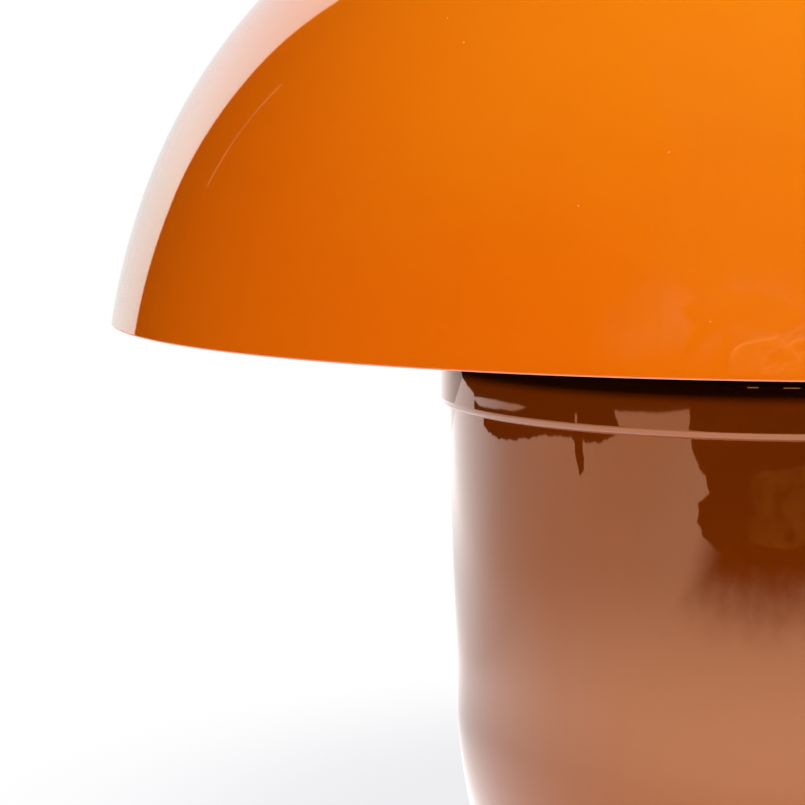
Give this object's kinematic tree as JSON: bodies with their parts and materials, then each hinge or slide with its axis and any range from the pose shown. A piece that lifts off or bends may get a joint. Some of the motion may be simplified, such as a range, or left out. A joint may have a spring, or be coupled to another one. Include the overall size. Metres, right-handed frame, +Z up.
{
  "type": "mushroom floor lamp",
  "caption": "Low mushroom lamp: a wide spun dome shade lifts off posts inside it, over a squat spun body with a cuffed lid; the bulb unscrews.",
  "frame": {"origin": "on the floor, below the middle of the body", "axes": "+Z up along the lamp's axis, +Y to the rear where the cable enters, +X to the right seen from the front"},
  "size_m": [0.5998, 0.5996, 0.4987],
  "materials": {
    "orange_lacquer": "thick high-gloss orange lacquer outside, satin gold lacquer inside",
    "brown_lacquer": "thick high-gloss brown lacquer",
    "felt": "dense dark felt",
    "cast_iron": "rough cast, painted dark grey",
    "zinc_steel": "zinc-plated steel",
    "black_phenolic": "moulded phenolic, semi-gloss",
    "porcelain": "white porcelain",
    "brass": "plain turned brass",
    "opal_glass": "opal white glass",
    "bulb_alloy": "pressed aluminium",
    "solder": "solder",
    "black_rubber": "moulded rubber",
    "white_rubber": "silicone rubber",
    "brown_sleeving": "insulated wire",
    "blue_sleeving": "insulated wire",
    "green_sleeving": "insulated wire"
  },
  "bodies": {
    "root": {"ballast": "cast_iron", "block_screws": "zinc_steel", "body_shell": "brown_lacquer", "cable_grommet": "black_rubber", "carrier_post_1": "brass", "carrier_post_2": "brass", "carrier_post_3": "brass", "centre_contact": "brass", "clamp_plate": "zinc_steel", "earth_lead": "green_sleeving", "earth_screw": "zinc_steel", "earth_tag": "brass", "foot_ring": "felt", "holder_base": "black_phenolic", "holder_insert": "porcelain", "holder_skirt": "black_phenolic", "lid": "brown_lacquer", "live_lead": "brown_sleeving", "neutral_lead": "blue_sleeving", "post_nuts": "zinc_steel", "post_tip_1": "white_rubber", "post_tip_2": "white_rubber", "post_tip_3": "white_rubber", "post_washers": "zinc_steel", "screw_sleeve": "brass", "terminal_block": "porcelain", "terminal_screws": "zinc_steel", "terminal_sleeves": "brass", "tie_tube": "zinc_steel", "tube_nuts": "zinc_steel", "tube_washers": "zinc_steel"},
    "shade": {"shade": "orange_lacquer", "shade_socket_1": "zinc_steel", "shade_socket_2": "zinc_steel", "shade_socket_3": "zinc_steel"},
    "bulb_tip": {"bulb_contact": "solder"},
    "bulb": {"bulb_glass": "opal_glass", "bulb_screw_cap": "bulb_alloy", "bulb_insulator": "black_phenolic"}
  },
  "joints": [
    {"name": "shade_lift", "type": "slide", "parent": "root", "child": "shade", "axis": [0, 0, 1], "range_m": [0, 0.25]},
    {"name": "bulb_rise", "type": "slide", "parent": "root", "child": "bulb_tip", "axis": [0, 0, 1], "range_m": [0, 0.01643]},
    {"name": "bulb_turn", "type": "hinge", "parent": "bulb_tip", "child": "bulb", "pos_m": [0, 0, 0.35], "axis": [0, 0, 1], "range_deg": [0, 1620]}
  ],
  "couplings": [
    {"joint": "bulb_rise", "follows": "bulb_turn", "m_per_rad": 0.00057757}
  ]
}
